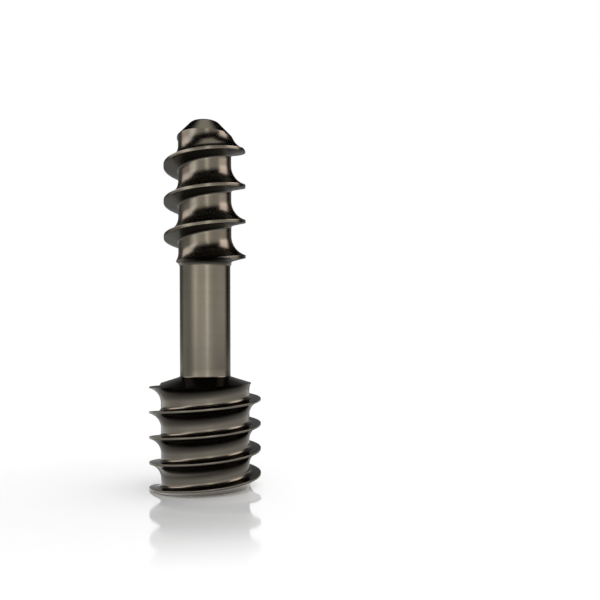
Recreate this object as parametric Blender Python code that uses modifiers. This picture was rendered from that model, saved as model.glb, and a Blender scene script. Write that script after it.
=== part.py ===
"""Headless compression bone screw, turned and thread-cut from one titanium bar.

The screw stands on its head. The origin is the middle of the flat end face with the drive socket, +Z runs
along the axis to the blunt tip, and heights are measured up from that face.

A blank is turned first, at the crests' radii. Two helical grooves are then cut into it, one for each thread,
and the drive socket is sunk into the end face. Both threads are right-handed, and the leading one is the
coarser, which is what draws the two bone fragments together.
"""

import math

import bmesh
import bpy

# Lengths along the axis, from the end face to the tip, in metres
HEAD_HEIGHT = 0.00405
SHANK_LENGTH = 0.00424
LEADING_LENGTH = 0.00515

# Head: trailing thread, shoulder and end face
HEAD_CREST_RADIUS = 0.00204
HEAD_ROOT_RADIUS = 0.00162
HEAD_PITCH = 0.000917
HEAD_CREST_LAND = 0.000055
HEAD_HOLLOW_HEIGHT = 0.000545
HEAD_FLANK_ANGLE = 2.0
HEAD_ROOT_FILLET = 0.00007
HEAD_CREST_HEIGHT = 0.000487
SHOULDER_ANGLE = 17.5
RIM_CHAMFER = 0.00007

# Shank
SHANK_RADIUS = 0.000928

# Leading thread and tip
LEADING_CREST_RADIUS = 0.0015
LEADING_ROOT_RADIUS = 0.000973
LEADING_PITCH = 0.001305
LEADING_CREST_LAND = 0.00012
LEADING_HOLLOW_HEIGHT = 0.0007
LEADING_FLANK_ANGLE = 8.0
LEADING_ROOT_FILLET = 0.00008
LEADING_CREST_LIFT = 0.00015
UNDERSIDE_FILLET = 0.00023
TIP_FLAT_RADIUS = 0.00048
TIP_CONE_ANGLE = 44.0

# Six-lobed drive socket
DRIVE_ACROSS_LOBES = 0.0024
DRIVE_ACROSS_RIDGES = 0.00175
DRIVE_LOBE_RADIUS = 0.00013
DRIVE_DEPTH = 0.0013
DRIVE_LOBES = 6
PILOT_CLEARANCE = 0.000015
PILOT_EXTRA_DEPTH = 0.00015
DRILL_POINT_ANGLE = 118.0
COUNTERBORE_CLEARANCE = 0.00003
COUNTERBORE_DEPTH = 0.00006
COUNTERSINK_ANGLE = 90.0

# Facets of the faceted solid
FACETS_PER_TURN = 48
HOLLOW_FACETS = 5
FILLET_FACETS = 2
UNDERSIDE_FACETS = 4
LOBE_FACETS = 4
RIDGE_FACETS = 6

# How far a cutter stands clear of the metal, and how near two points are one
CUTTER_CLEARANCE = 0.0003
SAME_POINT = 0.0000005

UNDERSIDE_HEIGHT = HEAD_HEIGHT + SHANK_LENGTH
SCREW_LENGTH = UNDERSIDE_HEIGHT + LEADING_LENGTH


def clear_scene():
    """Removes every object of the scene that the script starts in."""
    for found in list(bpy.data.objects):
        bpy.data.objects.remove(found, do_unlink=True)


def new_collection(name):
    """A collection under the scene's own."""
    collection = bpy.data.collections.new(name)
    bpy.context.scene.collection.children.link(collection)
    return collection


def arc(centre, radius, start, end, facets):
    """Points of a round stretch, from the start angle to the end angle in degrees, both ends included."""
    angles = [math.radians(start + (end - start) * step / facets) for step in range(facets + 1)]
    return [(centre[0] + radius * math.cos(a), centre[1] + radius * math.sin(a)) for a in angles]


def object_from_outline(name, outline, closed, collection):
    """A wire of (radius, height) points in the plane of +X and Z."""
    mesh = bpy.data.meshes.new(name)
    count = len(outline)
    edges = [(i, (i + 1) % count) for i in range(count if closed else count - 1)]
    mesh.from_pydata([(radius, 0.0, height) for radius, height in outline], edges, [])
    made = bpy.data.objects.new(name, mesh)
    collection.objects.link(made)
    return made


def add_screw(wire, turns, rise):
    """Carries a wire round the Z axis. A rise of 0 turns a solid, and any other climbs that much a turn."""
    screw = wire.modifiers.new("turn", "SCREW")
    screw.axis = "Z"
    screw.angle = math.tau
    screw.screw_offset = rise
    screw.iterations = turns
    screw.steps = FACETS_PER_TURN
    screw.render_steps = FACETS_PER_TURN
    screw.use_merge_vertices = rise == 0.0
    screw.merge_threshold = SAME_POINT
    return screw


def apply_modifiers(made):
    """Puts the evaluated mesh in place of the object's own, and drops its modifiers."""
    bpy.context.view_layer.update()
    graph = bpy.context.evaluated_depsgraph_get()
    mesh = bpy.data.meshes.new_from_object(made.evaluated_get(graph))
    made.modifiers.clear()
    made.data = mesh


def turned_solid(name, outline, collection):
    """A solid of revolution. The outline runs from the axis at the top, down the outer side, to the axis."""
    made = object_from_outline(name, outline, False, collection)
    add_screw(made, 1, 0.0)
    apply_modifiers(made)
    return made


def close_and_triangulate(made):
    """Fills the open ends of a swept tube, points its faces outwards and splits them into triangles."""
    work = bmesh.new()
    work.from_mesh(made.data)
    bmesh.ops.remove_doubles(work, verts=work.verts, dist=SAME_POINT)
    bmesh.ops.holes_fill(work, edges=[edge for edge in work.edges if edge.is_boundary], sides=0)
    bmesh.ops.recalc_face_normals(work, faces=work.faces)
    bmesh.ops.triangulate(work, faces=work.faces)
    work.to_mesh(made.data)
    work.free()


def blank_outline():
    """The turned blank: blunt tip, leading thread at its crest, shank, shoulder and head at its crest."""
    tip_cone_height = (LEADING_CREST_RADIUS - TIP_FLAT_RADIUS) / math.tan(math.radians(TIP_CONE_ANGLE))
    shoulder_drop = (HEAD_CREST_RADIUS - SHANK_RADIUS) * math.tan(math.radians(SHOULDER_ANGLE))
    fillet_centre = (SHANK_RADIUS + UNDERSIDE_FILLET, UNDERSIDE_HEIGHT - UNDERSIDE_FILLET)
    outline = [(0.0, SCREW_LENGTH), (TIP_FLAT_RADIUS, SCREW_LENGTH)]
    outline.append((LEADING_CREST_RADIUS, SCREW_LENGTH - tip_cone_height))
    outline.append((LEADING_CREST_RADIUS, UNDERSIDE_HEIGHT))
    outline += arc(fillet_centre, UNDERSIDE_FILLET, 90.0, 180.0, UNDERSIDE_FACETS)
    outline.append((SHANK_RADIUS, HEAD_HEIGHT))
    outline.append((HEAD_CREST_RADIUS, HEAD_HEIGHT - shoulder_drop))
    outline.append((HEAD_CREST_RADIUS, RIM_CHAMFER))
    outline.append((HEAD_CREST_RADIUS - RIM_CHAMFER, 0.0))
    outline.append((0.0, 0.0))
    return outline


def groove_outline(crest, root, pitch, land, hollow_height, flank_angle, fillet):
    """Section of the groove over one crest, with heights from that crest's flat flank.

    Above the land, a hollow flank falls to the root as part of a circle that touches the root's line. The
    root then runs straight up to a fillet under the flat flank of the next crest, a pitch further on.
    """
    outer = crest + CUTTER_CLEARANCE
    depth = crest - root
    slope = math.tan(math.radians(flank_angle))
    hollow_radius = (hollow_height**2 + depth**2) / (2.0 * depth)
    hollow_turn = math.degrees(math.asin(hollow_height / hollow_radius))
    hollow_centre = (root + hollow_radius, land + hollow_height)
    flank_height = pitch - (depth - fillet) * slope
    fillet_centre = (root + fillet, flank_height - fillet / math.cos(math.radians(flank_angle)))
    outline = [(outer, pitch + CUTTER_CLEARANCE * slope), (outer, land)]
    outline += arc(hollow_centre, hollow_radius, 180.0 + hollow_turn, 180.0, HOLLOW_FACETS)
    outline += arc(fillet_centre, fillet, 180.0, 90.0 + flank_angle, FILLET_FACETS)
    return outline


def groove_cutter(name, outline, base, turns, pitch, collection):
    """A groove's section carried up its helix from the base height at +X."""
    placed = [(radius, base + height) for radius, height in outline]
    made = object_from_outline(name, placed, True, collection)
    add_screw(made, turns, pitch)
    apply_modifiers(made)
    close_and_triangulate(made)
    return made


def leading_groove(collection):
    """The leading thread's groove. Its hollow flank faces the tip. It starts clear below the underside."""
    outline = groove_outline(
        LEADING_CREST_RADIUS,
        LEADING_ROOT_RADIUS,
        LEADING_PITCH,
        LEADING_CREST_LAND,
        LEADING_HOLLOW_HEIGHT,
        LEADING_FLANK_ANGLE,
        LEADING_ROOT_FILLET,
    )
    turns_below = 2
    base = UNDERSIDE_HEIGHT + LEADING_CREST_LIFT - turns_below * LEADING_PITCH
    turns = math.ceil((SCREW_LENGTH - base) / LEADING_PITCH)
    return groove_cutter("leading_groove", outline, base, turns, LEADING_PITCH, collection)


def head_groove(collection):
    """The head thread's groove. Its hollow flank faces the end face, so the section is turned over."""
    outline = groove_outline(
        HEAD_CREST_RADIUS,
        HEAD_ROOT_RADIUS,
        HEAD_PITCH,
        HEAD_CREST_LAND,
        HEAD_HOLLOW_HEIGHT,
        HEAD_FLANK_ANGLE,
        HEAD_ROOT_FILLET,
    )
    turned_over = [(radius, -height) for radius, height in reversed(outline)]
    base = HEAD_CREST_HEIGHT - HEAD_PITCH * math.ceil(HEAD_CREST_HEIGHT / HEAD_PITCH)
    turns = math.ceil((HEAD_HEIGHT - base) / HEAD_PITCH) + 1
    return groove_cutter("head_groove", turned_over, base, turns, HEAD_PITCH, collection)


def pilot_outline():
    """Counterbore, countersink and pilot hole, with the cone that the drill's point leaves."""
    counterbore = DRIVE_ACROSS_LOBES / 2 + COUNTERBORE_CLEARANCE
    pilot = DRIVE_ACROSS_RIDGES / 2 - PILOT_CLEARANCE
    pilot_depth = DRIVE_DEPTH + PILOT_EXTRA_DEPTH
    point_height = pilot / math.tan(math.radians(DRILL_POINT_ANGLE / 2))
    sink_height = (counterbore - pilot) / math.tan(math.radians(COUNTERSINK_ANGLE / 2))
    return [
        (0.0, pilot_depth + point_height),
        (pilot, pilot_depth),
        (pilot, COUNTERBORE_DEPTH + sink_height),
        (counterbore, COUNTERBORE_DEPTH),
        (counterbore, -CUTTER_CLEARANCE),
        (0.0, -CUTTER_CLEARANCE),
    ]


def drive_outline():
    """The six-lobed outline: small round lobes at the points, and a wide ridge between each two.

    A ridge and a lobe are circles that touch, so the ridge's radius follows from the other three sizes.
    """
    step = math.tau / DRIVE_LOBES
    half_step = step / 2
    lobe_at = DRIVE_ACROSS_LOBES / 2 - DRIVE_LOBE_RADIUS
    inner = DRIVE_ACROSS_RIDGES / 2
    spread = lobe_at * math.cos(half_step)
    rest = lobe_at**2 + inner**2 - 2.0 * inner * spread - DRIVE_LOBE_RADIUS**2
    ridge_radius = rest / (2.0 * (DRIVE_LOBE_RADIUS + spread - inner))
    ridge_at = inner + ridge_radius
    touch = math.degrees(
        math.atan2(ridge_at * math.sin(half_step), ridge_at * math.cos(half_step) - lobe_at)
    )
    ridge_turn = touch - math.degrees(half_step)
    points = []
    for lobe in range(DRIVE_LOBES):
        turn = lobe * math.degrees(step)
        along = math.radians(turn)
        between = along + half_step
        lobe_centre = (lobe_at * math.cos(along), lobe_at * math.sin(along))
        ridge_centre = (ridge_at * math.cos(between), ridge_at * math.sin(between))
        facing = math.degrees(between) + 180.0
        points += arc(lobe_centre, DRIVE_LOBE_RADIUS, turn - touch, turn + touch, LOBE_FACETS)
        points += arc(ridge_centre, ridge_radius, facing + ridge_turn, facing - ridge_turn, RIDGE_FACETS)[1:-1]
    return points


def drive_cutter(collection):
    """The six-lobed outline drawn up from below the end face to the drive's depth."""
    work = bmesh.new()
    corners = [work.verts.new((x, y, -CUTTER_CLEARANCE)) for x, y in drive_outline()]
    floor = work.faces.new(corners)
    drawn = bmesh.ops.extrude_face_region(work, geom=[floor])
    lifted = [item for item in drawn["geom"] if isinstance(item, bmesh.types.BMVert)]
    bmesh.ops.translate(work, verts=lifted, vec=(0.0, 0.0, CUTTER_CLEARANCE + DRIVE_DEPTH))
    bmesh.ops.recalc_face_normals(work, faces=work.faces)
    mesh = bpy.data.meshes.new("drive_recess")
    work.to_mesh(mesh)
    work.free()
    made = bpy.data.objects.new("drive_recess", mesh)
    collection.objects.link(made)
    return made


def cut(body, cutter):
    """Takes the cutter's shape out of the body, and leaves the cutter as a wire that isn't rendered.

    The cutters' facets line up with the body's, so each cut leaves pairs of points that are one, for the weld.
    """
    cutter.hide_render = True
    cutter.display_type = "WIRE"
    boolean = body.modifiers.new(cutter.name, "BOOLEAN")
    boolean.operation = "DIFFERENCE"
    boolean.solver = "EXACT"
    boolean.object = cutter
    weld = body.modifiers.new(cutter.name + "_weld", "WELD")
    weld.merge_threshold = SAME_POINT


def satin_titanium():
    """Dark bronze-grey, satin titanium alloy."""
    material = bpy.data.materials.new("satin_titanium")
    material.use_nodes = True
    shader = material.node_tree.nodes["Principled BSDF"]
    shader.inputs["Base Color"].default_value = (0.19, 0.17, 0.145, 1.0)
    shader.inputs["Metallic"].default_value = 1.0
    shader.inputs["Roughness"].default_value = 0.3
    return material


def make_screw(parts, cutters):
    """The blank, with both grooves and the drive socket cut into it."""
    screw = turned_solid("bone_screw", blank_outline(), parts)
    screw.data.materials.append(satin_titanium())
    cut(screw, leading_groove(cutters))
    cut(screw, head_groove(cutters))
    cut(screw, turned_solid("pilot_hole", pilot_outline(), cutters))
    cut(screw, drive_cutter(cutters))
    screw.data.shade_smooth()
    screw.data.set_sharp_from_angle(angle=math.radians(30.0))
    return screw


clear_scene()
make_screw(new_collection("orthopedic_bone_screw"), new_collection("cutters"))
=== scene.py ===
"""Headless compression bone screw: its finished surface, its satin titanium, and the studio round it.

Lengths are in metres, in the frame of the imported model. The screw stands on its head, the origin is the
middle of the end face with the drive socket, and +Z runs along the axis to the blunt tip. Angles round the
axis start at +X and run counterclockwise as seen from the tip.
"""

import collections
import math

import bmesh
import bpy
import numpy as np
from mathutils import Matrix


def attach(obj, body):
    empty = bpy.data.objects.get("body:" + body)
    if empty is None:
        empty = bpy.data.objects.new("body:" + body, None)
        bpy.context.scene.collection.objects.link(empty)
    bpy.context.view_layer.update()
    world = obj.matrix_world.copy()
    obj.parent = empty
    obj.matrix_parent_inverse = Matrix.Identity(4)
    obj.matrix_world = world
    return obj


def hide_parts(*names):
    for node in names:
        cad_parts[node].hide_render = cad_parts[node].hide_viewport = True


MILLIMETRES = 1000.0

# Lengths along the axis
HEAD_HEIGHT = 0.00405
SHANK_LENGTH = 0.00424
LEADING_LENGTH = 0.00515
UNDERSIDE_HEIGHT = HEAD_HEIGHT + SHANK_LENGTH
SCREW_LENGTH = UNDERSIDE_HEIGHT + LEADING_LENGTH

# Shank, shoulder, end face and tip. The shoulder's angle is from level and the tip's is from the axis. The
# tip's flat is given as it would be with a sharp edge.
SHANK_RADIUS = 0.000928
SHOULDER_ANGLE = math.radians(17.5)
SHOULDER_FILLET = 0.00005
SHOULDER_INSIDE_ROOT = 0.00002
UNDERSIDE_FILLET = 0.00023
RIM_CHAMFER = 0.00002
TIP_FLAT_RADIUS = 0.00048
TIP_CONE_ANGLE = math.radians(44.0)
TIP_EDGE = 0.00025

# Six-lobed drive socket
LOBES = 6
LOBE_REACH = 0.0012
RIDGE_REACH = 0.000875
LOBE_RADIUS = 0.00013
DRIVE_DEPTH = 0.0013
PILOT_RADIUS = 0.00086
PILOT_DEPTH = 0.00145
DRILL_HALF_ANGLE = math.radians(59.0)
COUNTERBORE_RADIUS = 0.00123
COUNTERBORE_DEPTH = 0.00006

Thread = collections.namedtuple(
    "Thread", "crest root pitch land hollow flank fillet edge start turned_over steps"
)
Steps = collections.namedtuple("Steps", "land edge hollow root fillet flank")

# A thread's start is the height at +X of the corner between a crest's land and its flat flank.
LEADING_THREAD = Thread(
    crest=0.0015,
    root=0.000973,
    pitch=0.001305,
    land=0.00012,
    hollow=0.0007,
    flank=math.radians(13.0),
    fillet=0.00008,
    edge=0.000012,
    start=UNDERSIDE_HEIGHT + 0.00015,
    turned_over=False,
    steps=Steps(land=3, edge=3, hollow=14, root=4, fillet=5, flank=5),
)
HEAD_THREAD = Thread(
    crest=0.00204,
    root=0.00162,
    pitch=0.000917,
    land=0.000074,
    hollow=0.000545,
    flank=math.radians(2.0),
    fillet=0.00012,
    edge=0.000008,
    start=0.000504,
    turned_over=True,
    steps=Steps(land=2, edge=3, hollow=13, root=4, fillet=5, flank=4),
)

# Grid of the surface: its columns, the points that count as one, and the edges that stay crisp
COLUMNS = 256
LOBE_CROWDING = 0.5
EDGE_HALVINGS = 24
SAME_POINT = 0.0000005
SHORTEST_EDGE = SAME_POINT / 10
CRISP_ANGLE = math.radians(35.0)

# Steps along each stretch of the outline outside the threads
TIP_FLAT_STEPS = 4
TIP_EDGE_STEPS = 6
UNDERSIDE_STEPS = 4
UNDERSIDE_FILLET_STEPS = 12
SHANK_STEPS = 14
SHOULDER_FILLET_STEPS = 5
SHOULDER_STEPS = 6
RIM_CHAMFER_STEPS = 5
END_FACE_STEPS = 3
COUNTERBORE_STEPS = 2
COUNTERSINK_STEPS = 5
LOBED_WALL_STEPS = 6
DRIVE_FLOOR_STEPS = 2
PILOT_STEPS = 1
DRILL_POINT_STEPS = 4

# Satin titanium. A scale is a number of features a millimetre, the ring scales are along the axis and round
# it, and a swing is how much roughness the whole of a noise makes up.
DARK_SHADE = (0.170, 0.155, 0.128, 1.0)
LIGHT_SHADE = (0.212, 0.194, 0.161, 1.0)
SHADE_CONTRAST = 1.4
DRIFT_IN_SHADE = 0.7
SATIN_ROUGHNESS = 0.225
RING_SWING = 0.05
BLASTING_SWING = 0.04
DRIFT_SWING = 0.04
RING_SCALES = (16.0, 0.6)
BROAD_RING_SCALES = (5.0, 0.3)
BLASTING_SCALE = 13.0
DRIFT_SCALE = 0.9
PLAIN_DETAIL = 1.0
DRIFT_DETAIL = 2.0
RINGS_IN_RELIEF = 0.55
RELIEF_STRENGTH = 0.04
RELIEF_DEPTH = 0.000012

# Camera
EYE_DISTANCE = 0.02557
EYE_HEIGHT = 0.00519
EYE_TURN = math.radians(7.869)
EYE_ROLL = 0.0033
LENS = 41.1
SENSOR_WIDTH = 36.0
FRAME_RISE = 0.0755
NEAREST = 0.001

# Floor and world. A strength of 1 is white.
FLOOR_REACH = 2.0
FLOOR_STEPS = 2
FLOOR_DROP = 0.000002
FLOOR_COLOUR = 0.95
WORLD_LIGHT = 1.05 / FLOOR_COLOUR
LIGHT_FROM_RIGHT = 1.0
WHITE = (1.0, 1.0, 1.0, 1.0)

# What the floor does with distance. A fade is a share that comes in or goes out smoothly from near to far,
# in millimetres from the axis, to one side of it or behind it.
Fade = collections.namedtuple("Fade", "share near far")
POLISH = Fade(0.46, 4.2, 10.3)
POLISH_ROUGHNESS = 0.08
# How the table glows for the metal: painted light, with painted shade at the sides and behind and painted
# gleams.
TABLE_SHEEN = 0.45
TABLE_GLARE = 0.75
GLARE_POWER = 6.0
LOST_AT_SIDES = Fade(0.75, 30.0, 70.0)
LOST_BEHIND = Fade(0.85, 12.0, 22.0)
STRIP_SIDES = Fade(1.0, 4.0, 12.0)
STRIP_SPREAD = 0.3
GLEAM_BEHIND = Fade(0.2, 4.0, 14.0)
GLEAM_LOST_AT_RIGHT = Fade(0.65, 1.0, 7.0)
GLEAM_UNDER_RIM = Fade(0.5, 2.2, 2.5)

# Domes of light
METAL_DOME_RADIUS = 0.3
FLOOR_DOME_RADIUS = 0.31
DOME_FOOT = math.radians(-1.0)
DOME_TURN_STEPS = 64
DOME_RISE_STEPS = 16

# A soft box is a patch of the dome, in degrees. Azimuth is 0 on the camera's side and 90 on the right, and
# elevation is up from the table. An edge fades over twice the softness, which is given across and then
# upward, and where boxes lie over each other their light adds up. A brightness of 1 is white. A box with a
# lean goes that many degrees of azimuth to the right for each degree up, from where its azimuths are given
# at the table. Azimuths end at 180 straight behind the screw, so what lies across the back is two boxes.
SoftBox = collections.namedtuple("SoftBox", "azimuths elevations softness brightness colour lean")
NEUTRAL = (1.0, 0.99, 0.98)
WARM = (1.0, 0.95, 0.88)
ROSY = (1.0, 0.87, 0.83)
FRONT_WALL = SoftBox((-64.0, 106.0), (-30.0, 30.0), (10.0, 12.0), 0.73, WARM, 0.0)
CENTRE_WALL = SoftBox((-56.0, 30.0), (-30.0, 11.0), (8.0, 6.0), 0.36, WARM, 0.0)
LEFT_WALL = SoftBox((-126.0, -64.0), (-30.0, 18.0), (10.0, 10.0), 0.27, WARM, 0.0)
LOW_BAND = SoftBox((-118.0, 104.0), (-30.0, 8.0), (12.0, 5.0), 0.35, NEUTRAL, 0.0)
FRONT_STRIP = SoftBox((3.0, 15.0), (-30.0, 31.0), (5.0, 12.0), 1.2, WARM, 0.0)
LEFT_STRIP = SoftBox((-51.0, -37.0), (-30.0, 16.0), (5.0, 6.0), 0.5, WARM, 0.0)
RIGHT_BOX = SoftBox((62.0, 106.0), (18.0, 50.0), (8.0, 6.0), 2.5, ROSY, 0.15)
LEFT_BOX = SoftBox((-44.0, -9.0), (14.0, 49.0), (10.0, 5.0), 1.8, NEUTRAL, -1.5)
FAR_LEFT_BOX = SoftBox((-92.0, -54.0), (18.0, 44.0), (8.0, 6.0), 2.1, ROSY, -1.1)
BACK_RIGHT_GLOW = SoftBox((140.0, 200.0), (-30.0, 4.0), (10.0, 6.0), 0.2, NEUTRAL, 0.0)
BACK_LEFT_GLOW = SoftBox((-200.0, -140.0), (-30.0, 4.0), (10.0, 6.0), 0.2, NEUTRAL, 0.0)
BACK_RIGHT_WALL = SoftBox((132.0, 200.0), (-30.0, 23.0), (12.0, 8.0), 0.16, NEUTRAL, 0.0)
BACK_LEFT_WALL = SoftBox((-200.0, -132.0), (-30.0, 23.0), (12.0, 8.0), 0.16, NEUTRAL, 0.0)
SOFT_BOXES = (
    FRONT_WALL,
    CENTRE_WALL,
    LEFT_WALL,
    LOW_BAND,
    FRONT_STRIP,
    LEFT_STRIP,
    RIGHT_BOX,
    LEFT_BOX,
    FAR_LEFT_BOX,
    BACK_RIGHT_GLOW,
    BACK_LEFT_GLOW,
    BACK_RIGHT_WALL,
    BACK_LEFT_WALL,
)

# The box overhead is a rectangle, in sines of the angle to the right and to the back of straight up.
TopBox = collections.namedtuple("TopBox", "rights backs softness brightness colour")
TOP_BOX = TopBox((-0.24, 0.23), (-0.32, 0.40), 0.12, 0.82, WARM)

# Share of the studio's light that is left once the metal has mirrored it twice
SECOND_MIRROR = 0.06


def straight(start, end, steps):
    """Radii and heights of a straight stretch, both ends included."""
    return np.linspace(start[0], end[0], steps + 1), np.linspace(start[1], end[1], steps + 1)


def arc(centre, radius, start, end, steps):
    """Radii and heights of a round stretch: the centre plus the radius times the cosine and the sine."""
    angles = np.linspace(start, end, steps + 1)
    return centre[0] + radius * np.cos(angles), centre[1] + radius * np.sin(angles)


def last_point(stretch):
    """Radius and height where a stretch ends."""
    return stretch[0][-1], stretch[1][-1]


def thread_section(thread):
    """Heights and radii over one pitch of a thread, from the foot of one crest's land to the next one's.

    The land is straight. The hollow flank is part of a circle that ends upright on the root, so its radius
    is (height squared + depth squared) / (2 depth). The root is straight up to a fillet, and the flat flank
    rises outwards at its angle. A rounded corner starts (radius x tangent of half its turn) before the sharp
    one. A thread that is turned over has its heights negated.
    """
    steps = thread.steps
    depth = thread.crest - thread.root
    hollow_radius = (thread.hollow**2 + depth**2) / (2.0 * depth)
    hollow_turn = math.asin(thread.hollow / hollow_radius)
    foot_turn = math.pi / 2 - thread.flank
    foot_cut = thread.edge * math.tan(foot_turn / 2)
    brow_cut = thread.edge * math.tan(hollow_turn / 2)
    flank_foot = thread.pitch - (depth - thread.fillet) * math.tan(thread.flank)
    hollow_centre = (thread.root + hollow_radius, thread.land + thread.hollow)
    fillet_centre = (thread.root + thread.fillet, flank_foot - thread.fillet / math.cos(thread.flank))
    brow_centre = (thread.crest - thread.edge, thread.land - brow_cut)
    foot_centre = (thread.crest - thread.edge, thread.pitch + foot_cut)

    hollow_start = math.pi + hollow_turn - brow_cut / hollow_radius
    land = straight((thread.crest, foot_cut), (thread.crest, brow_centre[1]), steps.land)
    brow = arc(brow_centre, thread.edge, 0.0, hollow_turn, steps.edge)
    hollow = arc(hollow_centre, hollow_radius, hollow_start, math.pi, steps.hollow)
    fillet = arc(fillet_centre, thread.fillet, math.pi, math.pi / 2 + thread.flank, steps.fillet)
    root = straight(last_point(hollow), (thread.root, fillet_centre[1]), steps.root)
    foot = arc(foot_centre, thread.edge, -foot_turn, 0.0, steps.edge)
    flank = straight(last_point(fillet), (foot[0][0], foot[1][0]), steps.flank)

    # Each stretch ends where the next one starts, so its last point is left to that one.
    stretches = [land, brow, hollow, root, fillet, flank, foot]
    radii = np.concatenate([stretch[0][:-1] for stretch in stretches])
    heights = np.concatenate([stretch[1][:-1] for stretch in stretches])
    if thread.turned_over:
        return -heights[::-1], radii[::-1]
    return heights, radii


def groove_radius(thread, heights, angles):
    """Radius of a thread's own surface at the given heights and angles.

    The section climbs one pitch a turn, so it is read at (height - start - pitch x angle / turn), taken back
    to within one pitch.
    """
    section_heights, section_radii = thread_section(thread)
    first = section_heights[0]
    along = heights - thread.start - thread.pitch * angles / math.tau
    along = first + np.mod(along - first, thread.pitch)
    known_heights = np.append(section_heights, first + thread.pitch)
    known_radii = np.append(section_radii, section_radii[0])
    return np.interp(along, known_heights, known_radii)


def meet_the_blank(thread, blank, heights, angles):
    """Moves the nearer row onto the edge where the thread's surface runs out of the turned blank.

    The edge is where the two radii are equal. It is found between two rows by halving again and again.
    """

    def excess(at):
        return groove_radius(thread, at, angles) - blank(at)

    below = heights[:-1].copy()
    above = heights[1:].copy()
    crossing = (excess(below) * excess(above) < 0.0) & (np.abs(above - below) > SAME_POINT)
    rising = excess(below) < 0.0
    for _ in range(EDGE_HALVINGS):
        middle = 0.5 * (below + above)
        keep = (excess(middle) < 0.0) == rising
        below = np.where(keep, middle, below)
        above = np.where(keep, above, middle)
    share = (below - heights[:-1]) / np.where(crossing, heights[1:] - heights[:-1], 1.0)
    moved = heights.copy()
    nearer_first = crossing & (share < 0.5)
    nearer_next = crossing & (share >= 0.5)
    moved[:-1][nearer_first] = below[nearer_first]
    moved[1:][nearer_next] = below[nearer_next]
    on_edge = np.zeros(heights.shape, dtype=bool)
    on_edge[:-1] |= nearer_first
    on_edge[1:] |= nearer_next

    # Where the edge goes over from one row to the next, both rows come together on it. The first and the last
    # column are left out, because they are one and the same place.
    falls = on_edge[:-1, 1:-1] & on_edge[1:, 2:] & ~on_edge[1:, 1:-1]
    moved[1:, 1:-1][falls] = moved[:-1, 1:-1][falls]
    climbs = on_edge[1:, 1:-1] & on_edge[:-1, 2:] & ~on_edge[:-1, 1:-1]
    moved[:-1, 1:-1][climbs] = moved[1:, 1:-1][climbs]
    return moved


def thread_rows(thread, blank, top, bottom, angles):
    """Rows of a threaded stretch, from the top down, each following the helix: radii and heights.

    A row's height is start + pitch x (turns + angle / turn) + its height in the section, held between the
    stretch's ends. The radius is the smaller of the thread's and the blank's. The turns go on past both
    ends, because a row climbs a pitch on its way round and a section is a pitch high.
    """
    section_heights, _ = thread_section(thread)
    lowest = math.floor((bottom - thread.start) / thread.pitch) - 2
    highest = math.ceil((top - thread.start) / thread.pitch) + 1
    turns = np.arange(lowest, highest + 1)
    rows = (thread.start + thread.pitch * turns[:, None] + section_heights[None, :]).ravel()
    heights = rows[::-1, None] + thread.pitch * angles[None, :] / math.tau
    heights = np.clip(heights, bottom, top)
    heights = meet_the_blank(thread, blank, heights, angles)
    return np.minimum(groove_radius(thread, heights, angles), blank(heights)), heights


def level_rows(radii, heights):
    """Rows that go straight round: one radius and one height each."""
    shape = (len(radii), COLUMNS + 1)
    return (
        np.broadcast_to(np.asarray(radii)[:, None], shape),
        np.broadcast_to(np.asarray(heights)[:, None], shape),
    )


def ring_rows(outer, inner, outer_height, inner_height, steps):
    """Rows in equal steps from an outer outline to an inner one, with a radius and a height a column."""
    share = np.linspace(0.0, 1.0, steps + 1)[:, None]
    radii = outer[None, :] * (1.0 - share) + inner[None, :] * share
    heights = outer_height[None, :] * (1.0 - share) + inner_height[None, :] * share
    return radii, heights


def column_angles():
    """Angles of the grid's columns: a whole turn, less a sine that draws them together at the six lobes."""
    even = np.linspace(0.0, math.tau, COLUMNS + 1)
    return even - LOBE_CROWDING / LOBES * np.sin(LOBES * even)


def tip_rows():
    """The flat of the tip, from its middle, and its rounded edge. Also gives the height where they end.

    The rounding starts (radius x tangent of half its turn) before the sharp edge.
    """
    turn = math.pi / 2 - TIP_CONE_ANGLE
    flat = TIP_FLAT_RADIUS - TIP_EDGE * math.tan(turn / 2)
    edge_centre = (flat, SCREW_LENGTH - TIP_EDGE)
    face = straight((0.0, SCREW_LENGTH), (flat, SCREW_LENGTH), TIP_FLAT_STEPS)
    edge = arc(edge_centre, TIP_EDGE, math.pi / 2, TIP_CONE_ANGLE, TIP_EDGE_STEPS)
    radii = np.concatenate([face[0], edge[0][1:]])
    heights = np.concatenate([face[1], edge[1][1:]])
    return level_rows(radii, heights), heights[-1]


def leading_blank(heights):
    """Radius of the blank at the leading end: the crest's, or less on the cone of the tip."""
    cone = TIP_FLAT_RADIUS + (SCREW_LENGTH - heights) * math.tan(TIP_CONE_ANGLE)
    return np.minimum(LEADING_THREAD.crest, cone)


def underside_rows(angles):
    """The ring under the leading thread and the fillet that takes it into the shank, cut by the groove."""
    level = np.full_like(angles, UNDERSIDE_HEIGHT)
    fillet_centre = (SHANK_RADIUS + UNDERSIDE_FILLET, UNDERSIDE_HEIGHT - UNDERSIDE_FILLET)
    groove = groove_radius(LEADING_THREAD, level, angles)
    outer = np.minimum(LEADING_THREAD.crest, groove)
    inner = np.minimum(fillet_centre[0], groove)
    ring = ring_rows(outer, inner, level, level, UNDERSIDE_STEPS)
    curve = arc(fillet_centre, UNDERSIDE_FILLET, math.pi / 2, math.pi, UNDERSIDE_FILLET_STEPS)
    radii, heights = level_rows(*curve)
    return ring, (np.minimum(radii, groove_radius(LEADING_THREAD, heights, angles)), heights)


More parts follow.
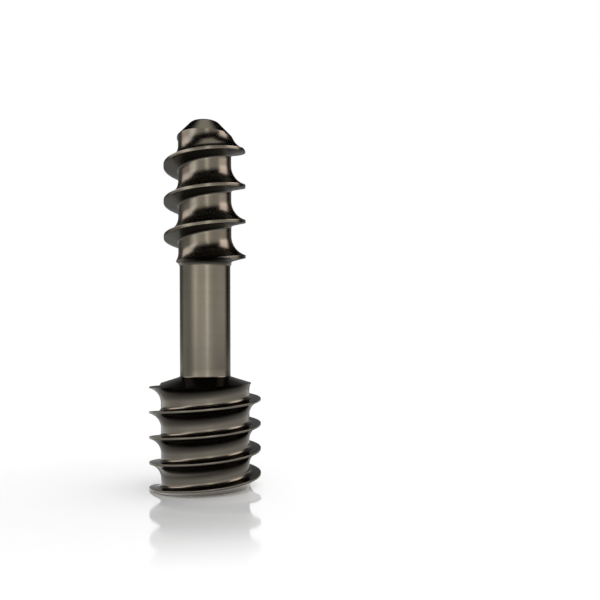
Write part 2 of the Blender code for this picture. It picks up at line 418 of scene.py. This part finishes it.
def shank_rows():
    """The shank, the small fillet at its foot and the part of the shoulder's cone inside the head's root.

    Also gives the height where that part of the cone ends.
    """
    cut = SHOULDER_FILLET * math.tan((math.pi / 2 - SHOULDER_ANGLE) / 2)
    fillet_centre = (SHANK_RADIUS + SHOULDER_FILLET, HEAD_HEIGHT + cut)
    fillet_end = 1.5 * math.pi - SHOULDER_ANGLE
    shank_top = (SHANK_RADIUS, UNDERSIDE_HEIGHT - UNDERSIDE_FILLET)
    shank_foot = (SHANK_RADIUS, fillet_centre[1])
    cone_radius = HEAD_THREAD.root - SHOULDER_INSIDE_ROOT
    cone_end = (cone_radius, HEAD_HEIGHT - (cone_radius - SHANK_RADIUS) * math.tan(SHOULDER_ANGLE))
    shank = straight(shank_top, shank_foot, SHANK_STEPS)
    fillet = arc(fillet_centre, SHOULDER_FILLET, math.pi, fillet_end, SHOULDER_FILLET_STEPS)
    cone = straight(last_point(fillet), cone_end, SHOULDER_STEPS)
    stretches = [shank, fillet, cone]
    radii = np.concatenate([stretch[0] for stretch in stretches])
    heights = np.concatenate([stretch[1] for stretch in stretches])
    return level_rows(radii, heights), cone_end[1]


def head_blank(heights):
    """Radius of the blank at the head: the crest's, or less on the cone of the shoulder."""
    cone = SHANK_RADIUS + (HEAD_HEIGHT - heights) / math.tan(SHOULDER_ANGLE)
    return np.minimum(HEAD_THREAD.crest, cone)


def end_face_rows(angles):
    """The chamfer of the rim, cut by the groove, and the flat end face in to the counterbore."""
    rim = (HEAD_THREAD.crest, RIM_CHAMFER)
    foot = (HEAD_THREAD.crest - RIM_CHAMFER, 0.0)
    radii, heights = level_rows(*straight(rim, foot, RIM_CHAMFER_STEPS))
    chamfer = (np.minimum(radii, groove_radius(HEAD_THREAD, heights, angles)), heights)
    level = np.zeros_like(angles)
    inner = np.full_like(angles, COUNTERBORE_RADIUS)
    face = ring_rows(chamfer[0][-1], inner, level, level, END_FACE_STEPS)
    return chamfer, face


def lobed_radius(angles):
    """Radius of the socket's six-lobed outline.

    Within a sixth of a turn, the lobe and the ridge are circles that touch. With the lobe's centre at radius
    a and the ridge's at radius b, half a lobe step away, the ridge's radius makes the distance between the
    centres the sum of the two radii. A ray from the axis leaves the lobe's circle at its far side,
    a cos t + sqrt(r² - a² sin² t), and meets the ridge's circle at its near side.
    """
    half_step = math.pi / LOBES
    lobe_at = LOBE_REACH - LOBE_RADIUS
    spread = lobe_at * math.cos(half_step)
    rest = lobe_at**2 + RIDGE_REACH**2 - 2.0 * RIDGE_REACH * spread - LOBE_RADIUS**2
    ridge_radius = rest / (2.0 * (LOBE_RADIUS + spread - RIDGE_REACH))
    ridge_at = RIDGE_REACH + ridge_radius
    across = ridge_at * math.sin(half_step)
    touch = math.atan2(across, ridge_at * math.cos(half_step) - lobe_at)
    switch = math.atan2(LOBE_RADIUS * math.sin(touch), lobe_at + LOBE_RADIUS * math.cos(touch))
    from_lobe = np.abs(np.mod(angles + half_step, 2.0 * half_step) - half_step)
    from_ridge = half_step - from_lobe
    lobe_rest = np.maximum(LOBE_RADIUS**2 - (lobe_at * np.sin(from_lobe)) ** 2, 0.0)
    ridge_rest = np.maximum(ridge_radius**2 - (ridge_at * np.sin(from_ridge)) ** 2, 0.0)
    lobe = lobe_at * np.cos(from_lobe) + np.sqrt(lobe_rest)
    ridge = ridge_at * np.cos(from_ridge) - np.sqrt(ridge_rest)
    return np.where(from_lobe < switch, lobe, ridge)


def socket_rows(angles):
    """Counterbore, countersink up to the lobed outline, lobed wall, floor, pilot hole and drill point.

    The countersink is a 90 degree cone: on it, radius and depth add up to those of the counterbore's foot.
    """
    axis = np.zeros_like(angles)
    bore = axis + COUNTERBORE_RADIUS
    bore_depth = axis + COUNTERBORE_DEPTH
    lobed = lobed_radius(angles)
    lobed_top = bore + bore_depth - lobed
    floor = axis + DRIVE_DEPTH
    pilot = axis + PILOT_RADIUS
    pilot_floor = axis + PILOT_DEPTH
    point = pilot_floor + PILOT_RADIUS / math.tan(DRILL_HALF_ANGLE)
    return [
        ring_rows(bore, bore, axis, bore_depth, COUNTERBORE_STEPS),
        ring_rows(bore, lobed, bore_depth, lobed_top, COUNTERSINK_STEPS),
        ring_rows(lobed, lobed, lobed_top, floor, LOBED_WALL_STEPS),
        ring_rows(lobed, pilot, floor, floor, DRIVE_FLOOR_STEPS),
        ring_rows(pilot, pilot, floor, pilot_floor, PILOT_STEPS),
        ring_rows(pilot, axis, pilot_floor, point, DRILL_POINT_STEPS),
    ]


def screw_grid():
    """The whole surface as one grid of radii and heights, from the tip's middle down to the drill point."""
    angles = column_angles()
    tip, cone_top = tip_rows()
    ring, underside_fillet = underside_rows(angles)
    shank, head_top = shank_rows()
    chamfer, face = end_face_rows(angles)
    blocks = [
        tip,
        thread_rows(LEADING_THREAD, leading_blank, cone_top, UNDERSIDE_HEIGHT, angles),
        ring,
        underside_fillet,
        shank,
        thread_rows(HEAD_THREAD, head_blank, head_top, RIM_CHAMFER, angles),
        chamfer,
        face,
    ] + socket_rows(angles)
    radii = np.concatenate([block[0] for block in blocks])
    heights = np.concatenate([block[1] for block in blocks])
    return radii, heights, angles


def mesh_of_grid(name, points):
    """A mesh of four-cornered faces over a grid of points.

    The faces point to the side from which the rows run down and the columns run to the right.
    """
    rows, columns = points.shape[:2]
    index = np.arange(rows * columns).reshape(rows, columns)
    corners = np.stack([index[:-1, :-1], index[1:, :-1], index[1:, 1:], index[:-1, 1:]], axis=-1)
    faces = corners.reshape(-1, 4)
    mesh = bpy.data.meshes.new(name)
    mesh.vertices.add(rows * columns)
    mesh.vertices.foreach_set("co", points.astype(np.float32).ravel())
    mesh.loops.add(faces.size)
    mesh.loops.foreach_set("vertex_index", faces.astype(np.int32).ravel())
    mesh.polygons.add(len(faces))
    mesh.polygons.foreach_set("loop_start", np.arange(0, faces.size, 4, dtype=np.int32))
    mesh.update(calc_edges=True)
    return mesh


def place(mesh, material):
    """An object at the origin, named as the mesh is, that shows the mesh in the material."""
    mesh.materials.append(material)
    made = bpy.data.objects.new(mesh.name, mesh)
    bpy.context.scene.collection.objects.link(made)
    return made


def weld(mesh):
    """Makes one point of those that coincide, which closes the seam, the poles and rows that run together."""
    work = bmesh.new()
    work.from_mesh(mesh)
    bmesh.ops.remove_doubles(work, verts=work.verts, dist=SAME_POINT)
    bmesh.ops.dissolve_degenerate(work, edges=work.edges, dist=SHORTEST_EDGE)
    work.to_mesh(mesh)
    work.free()


def make_screw(material):
    """The screw's finished surface: x = radius x cosine, y = radius x sine of each column's angle."""
    radii, heights, angles = screw_grid()
    points = np.stack([radii * np.cos(angles), radii * np.sin(angles), heights], axis=-1)
    mesh = mesh_of_grid("threaded_screw", points)
    weld(mesh)
    mesh.shade_smooth()
    mesh.set_sharp_from_angle(angle=CRISP_ANGLE)
    return place(mesh, material)


class Number:
    """A number that varies over a surface. Arithmetic on it adds the Math nodes that work it out."""

    def __init__(self, tree, socket):
        self.tree = tree
        self.socket = socket

    def worked_out(self, operation, first, second):
        """The Math node's result for two numbers, either of which may be plain."""
        found = add_node(self.tree, "ShaderNodeMath", {"operation": operation}, {0: first, 1: second})
        return Number(self.tree, found.outputs[0])

    def __add__(self, other):
        return self.worked_out("ADD", self, other)

    def __radd__(self, other):
        return self.worked_out("ADD", other, self)

    def __sub__(self, other):
        return self.worked_out("SUBTRACT", self, other)

    def __rsub__(self, other):
        return self.worked_out("SUBTRACT", other, self)

    def __mul__(self, other):
        return self.worked_out("MULTIPLY", self, other)

    def __rmul__(self, other):
        return self.worked_out("MULTIPLY", other, self)

    def __pow__(self, other):
        return self.worked_out("POWER", self, other)

    def __neg__(self):
        return self.worked_out("MULTIPLY", self, -1.0)

    def __abs__(self):
        return self.worked_out("ABSOLUTE", self, 0.0)

    def at_least(self, other):
        """The larger of the two numbers."""
        return self.worked_out("MAXIMUM", self, other)

    def at_most(self, other):
        """The smaller of the two numbers."""
        return self.worked_out("MINIMUM", self, other)

    def is_over(self, other):
        """1 where this number is greater than the other, and 0 elsewhere."""
        return self.worked_out("GREATER_THAN", self, other)

    def arcsine(self):
        """The angle with this sine, in radians."""
        return self.worked_out("ARCSINE", self, 0.0)

    def arctangent_over(self, other):
        """The angle whose tangent is this number over the other, in radians, all the way round."""
        return self.worked_out("ARCTAN2", self, other)


def add_node(tree, kind, settings=None, values=None):
    """A node of this kind: its settings first, then a value or a link for each named or numbered socket."""
    node = tree.nodes.new(kind)
    for name, setting in (settings or {}).items():
        setattr(node, name, setting)
    for name, value in (values or {}).items():
        if isinstance(value, Number):
            tree.links.new(value.socket, node.inputs[name])
        elif isinstance(value, bpy.types.NodeSocket):
            tree.links.new(value, node.inputs[name])
        else:
            node.inputs[name].default_value = value
    return node


def empty_tree(owner):
    """The owner's node tree, with nothing in it."""
    owner.use_nodes = True
    owner.node_tree.nodes.clear()
    return owner.node_tree


def new_material(name):
    """A material with an empty tree."""
    material = bpy.data.materials.new(name)
    return material, empty_tree(material)


def show(tree, surface):
    """Makes the node's shader the surface of the tree's material."""
    add_node(tree, "ShaderNodeOutputMaterial", None, {"Surface": surface.outputs[0]})


def mixed_shader(tree, share, first, second):
    """The first node's shader at a share of 0, the second's at 1."""
    values = {0: share, 1: first.outputs[0], 2: second.outputs[0]}
    return add_node(tree, "ShaderNodeMixShader", None, values)


def vector_maths(tree, operation, values):
    """The vector that a Vector Math node works out."""
    return add_node(tree, "ShaderNodeVectorMath", {"operation": operation}, values).outputs[0]


def scaled(tree, vector, share):
    """The vector or colour times a number, which may be over 1."""
    return vector_maths(tree, "SCALE", {0: vector, "Scale": share})


def mixed_colour(tree, share, first, second):
    """The first colour at a share of 0, the second at 1."""
    values = {"Factor": share, "A": first, "B": second}
    return add_node(tree, "ShaderNodeMix", {"data_type": "RGBA"}, values).outputs["Result"]


def vector_of(tree, x, y, z):
    """A vector of three numbers."""
    return add_node(tree, "ShaderNodeCombineXYZ", None, {"X": x, "Y": y, "Z": z}).outputs[0]


def parts_of(tree, vector):
    """The three numbers of a vector."""
    parts = add_node(tree, "ShaderNodeSeparateXYZ", None, {0: vector})
    return [Number(tree, parts.outputs[axis]) for axis in "XYZ"]


def step_between(value, low, high):
    """0 below low, 1 above high, and a smooth rise between."""
    settings = {"interpolation_type": "SMOOTHSTEP"}
    values = {"Value": value, "From Min": low, "From Max": high}
    node = add_node(value.tree, "ShaderNodeMapRange", settings, values)
    return Number(value.tree, node.outputs["Result"])


def between(value, low, high, soft):
    """1 from low to high and 0 elsewhere, with edges that are twice soft wide."""
    return step_between(value, low - soft, low + soft) - step_between(value, high - soft, high + soft)


def coming_in(fade, distance):
    """None of the fade's share up to near, and all of it from far on."""
    return fade.share * step_between(distance, fade.near, fade.far)


def going_out(fade, distance):
    """All of the fade's share up to near, and none of it from far on."""
    return fade.share * (1.0 - step_between(distance, fade.near, fade.far))


def place_in_millimetres(tree):
    """Position in the object's own coordinates, in millimetres."""
    coordinates = add_node(tree, "ShaderNodeTexCoord")
    return scaled(tree, coordinates.outputs["Object"], MILLIMETRES)


def distance_from_axis(x, y):
    """Square root of x squared plus y squared."""
    return (x * x + y * y) ** 0.5


def noise(tree, vector, scale, detail):
    """Noise from 0 to 1 at a vector, with that many features a unit."""
    settings = {"noise_dimensions": "3D"}
    values = {"Vector": vector, "Scale": scale, "Detail": detail}
    return Number(tree, add_node(tree, "ShaderNodeTexNoise", settings, values).outputs["Fac"])


def turning_marks(tree, x, y, along, scales):
    """Noise that is fine along and drawn out round the axis, so that it runs in rings."""
    vector = vector_of(tree, x * scales[1], y * scales[1], along * scales[0])
    return noise(tree, vector, 1.0, PLAIN_DETAIL)


def satin_titanium():
    """Dark bronze-grey titanium, satin from a fine blasting over the marks of turning.

    The marks are noise that is drawn out round the axis, so they run in rings on every face. The blasting is
    fine, even noise. Colour and roughness drift a little over a millimetre or so. Each noise swings about
    its middle, 0.5.
    """
    material, tree = new_material("satin_titanium")
    vector = place_in_millimetres(tree)
    x, y, z = parts_of(tree, vector)
    radius = distance_from_axis(x, y)
    rings = turning_marks(tree, x, y, z + radius, RING_SCALES)
    broad_rings = turning_marks(tree, x, y, z - radius, BROAD_RING_SCALES)
    blasting = noise(tree, vector, BLASTING_SCALE, PLAIN_DETAIL)
    drift = noise(tree, vector, DRIFT_SCALE, DRIFT_DETAIL)

    mottle = drift * DRIFT_IN_SHADE + broad_rings * (1.0 - DRIFT_IN_SHADE)
    shade = ((mottle - 0.5) * SHADE_CONTRAST + 0.5).at_least(0.0).at_most(1.0)
    swing = (rings - 0.5) * RING_SWING + (blasting - 0.5) * BLASTING_SWING + (drift - 0.5) * DRIFT_SWING
    relief = rings * RINGS_IN_RELIEF + blasting * (1.0 - RINGS_IN_RELIEF)
    bump_values = {"Strength": RELIEF_STRENGTH, "Distance": RELIEF_DEPTH, "Height": relief}
    bump = add_node(tree, "ShaderNodeBump", None, bump_values)
    metal_values = {
        "Base Color": mixed_colour(tree, shade, DARK_SHADE, LIGHT_SHADE),
        "Metallic": 1.0,
        "Roughness": SATIN_ROUGHNESS + swing,
        "Normal": bump.outputs["Normal"],
    }
    show(tree, add_node(tree, "ShaderNodeBsdfPrincipled", None, metal_values))
    return material


def kinds_of_ray(tree):
    """Three numbers, each 1 or 0: a ray is from the camera, sent on by gloss, or let through a clear body."""
    path = add_node(tree, "ShaderNodeLightPath")
    kinds = ("Is Camera Ray", "Is Glossy Ray", "Is Transmission Ray")
    return [Number(tree, path.outputs[kind]) for kind in kinds]


def white_world():
    """A world that is white where it is seen, and lights the scene at a plain level.

    Its light is stronger on the right than on the left by a share of the direction's x. On a level floor in
    the open the two sides make up for each other, so only the shadow moves, to the left.
    """
    world = bpy.data.worlds.new("white_world")
    # The domes cast no shadow, so light sampled straight from the world would pass through them to the metal.
    world.cycles.sampling_method = "NONE"
    bpy.context.scene.world = world
    tree = empty_tree(world)
    coordinates = add_node(tree, "ShaderNodeTexCoord")
    rightward, _, _ = parts_of(tree, coordinates.outputs["Generated"])
    camera, glossy, clear = kinds_of_ray(tree)
    seen = camera.at_least(glossy).at_least(clear)
    light = WORLD_LIGHT * (1.0 + LIGHT_FROM_RIGHT * rightward)
    colour = scaled(tree, WHITE[:3], light * (1.0 - seen) + seen)
    sky = add_node(tree, "ShaderNodeBackground", None, {"Color": colour, "Strength": 1.0})
    add_node(tree, "ShaderNodeOutputWorld", None, {"Surface": sky.outputs[0]})


def glow_of(tree, colour):
    """An even glow of this colour."""
    return add_node(tree, "ShaderNodeEmission", None, {"Color": colour, "Strength": 1.0})


def painted_table_glow(tree, x, y, away):
    """How bright the table glows for the metal, where 1 is white: painted light, not lamp light falling on
    it.

    Facing is 1 less the cosine of the angle between the ray and the upright. A glance is a sheen times facing
    and a glare times a power of facing. It loses a share far out at the sides, and in a strip behind the
    screw that spreads as it goes back: painted shade. A painted gleam behind the screw, weaker at the right,
    and another painted gleam under the rim are added.
    """
    weight = add_node(tree, "ShaderNodeLayerWeight", None, {"Blend": 0.5})
    facing = Number(tree, weight.outputs["Facing"])
    aside = abs(x)
    lost_in_strip = coming_in(LOST_BEHIND, y) * going_out(STRIP_SIDES, aside - STRIP_SPREAD * y)
    lost = coming_in(LOST_AT_SIDES, aside).at_least(lost_in_strip)
    glance = TABLE_SHEEN * facing + TABLE_GLARE * facing**GLARE_POWER
    gleam_behind = coming_in(GLEAM_BEHIND, y) * (1.0 - coming_in(GLEAM_LOST_AT_RIGHT, x))
    return glance * (1.0 - lost) + gleam_behind + going_out(GLEAM_UNDER_RIM, away)


def gloss_floor():
    """White table top, with a polish that mirrors the screw near its foot and fades out further away.

    The metal sees it as a painted glow at a brightness of its own, and all else sees it lit by the world.
    """
    material, tree = new_material("gloss_floor")
    x, y, _ = parts_of(tree, place_in_millimetres(tree))
    away = distance_from_axis(x, y)
    camera, glossy, clear = kinds_of_ray(tree)
    # For gloss the table is a painted glow, with painted shade and painted gleams, not lit by any lamp.
    white = glow_of(tree, scaled(tree, WHITE[:3], painted_table_glow(tree, x, y, away)))
    grey = (FLOOR_COLOUR, FLOOR_COLOUR, FLOOR_COLOUR, 1.0)
    lit = add_node(tree, "ShaderNodeBsdfDiffuse", None, {"Color": grey})
    body = mixed_shader(tree, glossy.at_least(clear), lit, white)
    mirror_values = {"Color": WHITE, "Roughness": POLISH_ROUGHNESS}
    mirror = add_node(tree, "ShaderNodeBsdfGlossy", None, mirror_values)
    show(tree, mixed_shader(tree, going_out(POLISH, away) * camera, body, mirror))
    return material


def make_floor():
    """A level square, just under the end face."""
    side = np.linspace(-FLOOR_REACH, FLOOR_REACH, FLOOR_STEPS + 1)
    x, y = np.meshgrid(side, side[::-1])
    points = np.stack([x, y, np.full_like(x, -FLOOR_DROP)], axis=-1)
    floor = place(mesh_of_grid("floor", points), gloss_floor())
    return floor


def light_of_box(tree, box, azimuth, elevation):
    """Colour of one soft box's light in a direction."""
    across = between(azimuth - box.lean * elevation, *box.azimuths, box.softness[0])
    upward = between(elevation, *box.elevations, box.softness[1])
    return scaled(tree, box.colour, across * upward * box.brightness)


def studio_light(tree):
    """Colour of the studio's light in each direction from the screw: the sum of the soft boxes.

    The azimuth is the arctangent of right over front, and the elevation the arcsine of up, in degrees.
    """
    coordinates = add_node(tree, "ShaderNodeTexCoord")
    direction = vector_maths(tree, "NORMALIZE", {0: coordinates.outputs["Object"]})
    right, back, up = parts_of(tree, direction)
    azimuth = right.arctangent_over(-back) * math.degrees(1.0)
    elevation = up.arcsine() * math.degrees(1.0)

    top_across = between(right, *TOP_BOX.rights, TOP_BOX.softness)
    top_along = between(back, *TOP_BOX.backs, TOP_BOX.softness)
    light = scaled(tree, TOP_BOX.colour, top_across * top_along * TOP_BOX.brightness)
    for box in SOFT_BOXES:
        light = vector_maths(tree, "ADD", {0: light, 1: light_of_box(tree, box, azimuth, elevation)})
    path = add_node(tree, "ShaderNodeLightPath")
    mirrored_twice = Number(tree, path.outputs["Glossy Depth"]).is_over(1.5)
    return scaled(tree, light, 1.0 - (1.0 - SECOND_MIRROR) * mirrored_twice)


def studio_glow():
    """What the metal sees round it: the soft boxes, with nothing between them."""
    material, tree = new_material("studio_glow")
    glow = glow_of(tree, studio_light(tree))
    clear = add_node(tree, "ShaderNodeBsdfTransparent")
    both = {0: glow.outputs[0], 1: clear.outputs[0]}
    show(tree, add_node(tree, "ShaderNodeAddShader", None, both))
    material.cycles.emission_sampling = "NONE"
    return material


def white_glow():
    """What the floor's polish sees round it: plain white."""
    material, tree = new_material("white_glow")
    show(tree, glow_of(tree, WHITE))
    material.cycles.emission_sampling = "NONE"
    return material


def make_dome(name, radius, material, lit):
    """Half a sphere over the table. Gloss alone sees it, and its light reaches one object alone.

    x = cosine of turn x cosine of rise, y = sine of turn x cosine of rise and z = sine of rise, all times
    the radius.
    """
    turns = np.linspace(0.0, math.tau, DOME_TURN_STEPS + 1)
    rises = np.linspace(DOME_FOOT, math.pi / 2, DOME_RISE_STEPS + 1)
    turn, rise = np.meshgrid(turns, rises)
    directions = [np.cos(turn) * np.cos(rise), np.sin(turn) * np.cos(rise), np.sin(rise)]
    mesh = mesh_of_grid(name, radius * np.stack(directions, axis=-1))
    weld(mesh)
    dome = place(mesh, material)
    dome.visible_camera = False
    dome.visible_diffuse = False
    dome.visible_transmission = False
    dome.visible_shadow = False
    reached = bpy.data.collections.new(name + "_reaches")
    reached.objects.link(lit)
    dome.light_linking.receiver_collection = reached


def make_camera():
    """The eye is straight in front of the screw and level, but for a slight roll.

    It is turned to the right, so that the screw stands at the left of the picture.
    """
    data = bpy.data.cameras.new("camera")
    data.lens = LENS
    data.sensor_width = SENSOR_WIDTH
    data.shift_y = FRAME_RISE
    data.clip_start = NEAREST
    data.clip_end = 2.0 * FLOOR_REACH
    camera = bpy.data.objects.new("camera", data)
    camera.location = (0.0, -EYE_DISTANCE, EYE_HEIGHT)
    camera.rotation_euler = (math.pi / 2, EYE_ROLL, -EYE_TURN)
    bpy.context.scene.collection.objects.link(camera)
    bpy.context.scene.camera = camera


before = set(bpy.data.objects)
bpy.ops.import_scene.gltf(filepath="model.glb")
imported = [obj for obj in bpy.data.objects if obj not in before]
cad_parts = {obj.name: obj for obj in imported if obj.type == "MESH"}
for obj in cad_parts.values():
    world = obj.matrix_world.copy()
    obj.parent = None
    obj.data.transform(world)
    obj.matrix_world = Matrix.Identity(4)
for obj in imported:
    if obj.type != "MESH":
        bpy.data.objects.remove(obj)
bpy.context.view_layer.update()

screw = make_screw(satin_titanium())
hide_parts("bone_screw")
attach(screw, "root")

bpy.context.scene.view_settings.view_transform = "Standard"
white_world()
floor = make_floor()
make_dome("metal_dome", METAL_DOME_RADIUS, studio_glow(), screw)
make_dome("floor_dome", FLOOR_DOME_RADIUS, white_glow(), floor)
make_camera()
